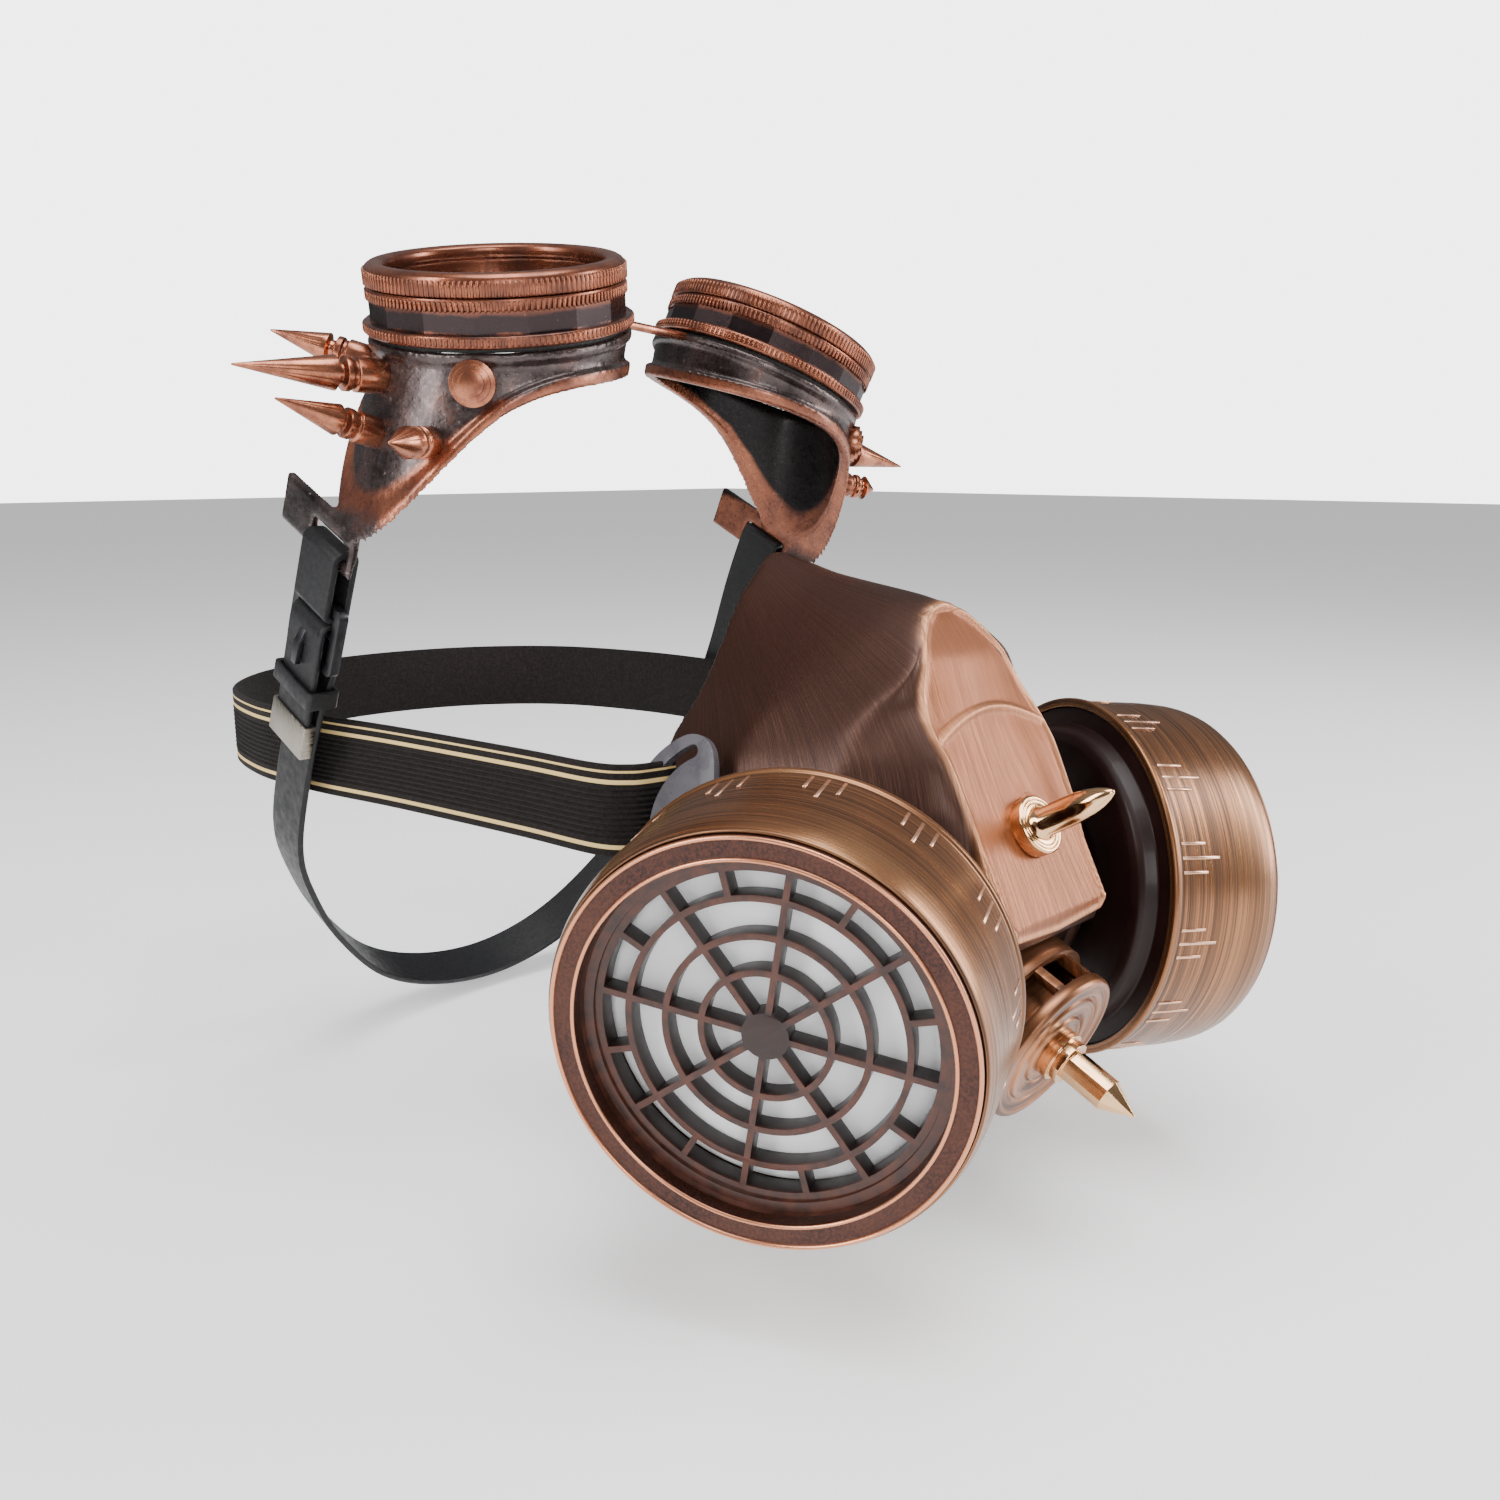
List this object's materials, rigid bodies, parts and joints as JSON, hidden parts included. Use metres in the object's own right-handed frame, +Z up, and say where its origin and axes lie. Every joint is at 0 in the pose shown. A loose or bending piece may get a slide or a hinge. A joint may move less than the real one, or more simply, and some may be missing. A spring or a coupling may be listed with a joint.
{
  "type": "steampunk half mask respirator with goggles",
  "caption": "Costume respirator half mask with round filter canisters, spikes and a vent, worn with spiked screw-ring goggles on elastic and buckled straps.",
  "frame": {"origin": "middle of the wearer's head, level with the elastic head band", "axes": "+X to the wearer's left, -Y the way the face looks, +Z up"},
  "size_m": [0.2186, 0.3063, 0.2334],
  "materials": {
    "dark_copper_plastic": "brushed antique copper paint, satin",
    "black_plastic": "satin moulded",
    "black_gloss": "gloss",
    "brushed_copper": "circumferentially brushed antique copper paint",
    "copper_ring": "fine grain copper paint",
    "black_plastic_web": "gloss, copper dusted edges",
    "white_filter": "non-woven pad",
    "rose_gold": "polished rose gold plating",
    "steel": "satin",
    "brushed_copper_vent": "brushed antique copper paint",
    "copper_vent_disc": "satin copper paint",
    "rubber": "matt",
    "smoky_plastic": "smoky translucent",
    "elastic": "ribbed elastic with three yellow lines",
    "pewter_copper": "aged pewter and copper paint",
    "gasket_rubber": "matt",
    "aged_copper_collar": "knurled, aged copper",
    "aged_copper_bezel": "knurled, aged copper",
    "clear_lens": "clear",
    "aged_copper_spikes": "aged copper, polished points",
    "aged_copper_boss": "aged copper",
    "dark_steel": "satin",
    "strap_leather": "fine pebbled synthetic leather",
    "gunmetal": "satin gunmetal",
    "nickel": "brushed nickel"
  },
  "bodies": {
    "mask": {"mask_shell": "dark_copper_plastic", "front_spike": "rose_gold", "front_spike_washer": "rose_gold", "front_spike_nut": "steel", "vent_housing": "brushed_copper_vent", "vent_disc": "copper_vent_disc", "vent_spike": "rose_gold", "vent_valve_flap": "rubber", "elastic_band": "elastic", "canister_neck_right": "black_plastic", "neck_nut_right": "black_plastic", "strap_tab_right": "smoky_plastic", "canister_neck_left": "black_plastic", "neck_nut_left": "black_plastic", "strap_tab_left": "smoky_plastic"},
    "goggles": {"goggle_cup_right": "pewter_copper", "cup_gasket_right": "gasket_rubber", "lens_collar_right": "aged_copper_collar", "lens_right": "clear_lens", "side_spikes_right": "aged_copper_spikes", "rivet_boss_right": "aged_copper_boss", "goggle_cup_left": "pewter_copper", "cup_gasket_left": "gasket_rubber", "lens_collar_left": "aged_copper_collar", "lens_left": "clear_lens", "side_spikes_left": "aged_copper_spikes", "rivet_boss_left": "aged_copper_boss", "bridge_rod": "dark_steel", "goggle_strap_long": "strap_leather", "goggle_strap_short": "strap_leather", "buckle_frame": "gunmetal", "keeper_loop": "strap_leather", "strap_end_clip": "nickel"},
    "prong": {"buckle_prong": "gunmetal"},
    "canister_right": {"back_plate_right": "black_gloss", "canister_barrel_right": "brushed_copper", "filter_pad_right": "white_filter"},
    "front_cap_right": {"front_ring_right": "copper_ring", "web_grille_right": "black_plastic_web"},
    "bezel_right": {"lens_bezel_right": "aged_copper_bezel"},
    "canister_left": {"back_plate_left": "black_gloss", "canister_barrel_left": "brushed_copper", "filter_pad_left": "white_filter"},
    "front_cap_left": {"front_ring_left": "copper_ring", "web_grille_left": "black_plastic_web"},
    "bezel_left": {"lens_bezel_left": "aged_copper_bezel"}
  },
  "joints": [
    {"name": "goggles_swing", "type": "hinge", "parent": "mask", "child": "goggles", "pos_m": [0, 0.032, 0.001], "axis": [1, 0, 0], "range_deg": [-10, 25]},
    {"name": "canister_turn_right", "type": "hinge", "parent": "mask", "child": "canister_right", "pos_m": [-0.0521, -0.125, -0.03], "axis": [-0.8982, -0.4323, -0.0802], "range_deg": [-90, 0]},
    {"name": "front_cap_turn_right", "type": "hinge", "parent": "canister_right", "child": "front_cap_right", "pos_m": [-0.07905, -0.13797, -0.03241], "axis": [-0.8982, -0.4323, -0.0802], "range_deg": [0, 45]},
    {"name": "bezel_turn_right", "type": "hinge", "parent": "goggles", "child": "bezel_right", "pos_m": [-0.04873, -0.01807, 0.12374], "axis": [-0.1854, -0.172, 0.9675], "range_deg": [0, 360]},
    {"name": "canister_turn_left", "type": "hinge", "parent": "mask", "child": "canister_left", "pos_m": [0.0521, -0.125, -0.03], "axis": [0.8982, -0.4323, -0.0802], "range_deg": [-90, 0]},
    {"name": "front_cap_turn_left", "type": "hinge", "parent": "canister_left", "child": "front_cap_left", "pos_m": [0.07905, -0.13797, -0.03241], "axis": [0.8982, -0.4323, -0.0802], "range_deg": [0, 45]},
    {"name": "bezel_turn_left", "type": "hinge", "parent": "goggles", "child": "bezel_left", "pos_m": [0.05079, -0.01807, 0.11468], "axis": [0.357, -0.172, 0.9181], "range_deg": [0, 360]},
    {"name": "prong_lift", "type": "hinge", "parent": "goggles", "child": "prong", "pos_m": [-0.0851, 0.01489, 0.03804], "axis": [0, -0.9078, -0.4195], "range_deg": [-55, 0]}
  ]
}
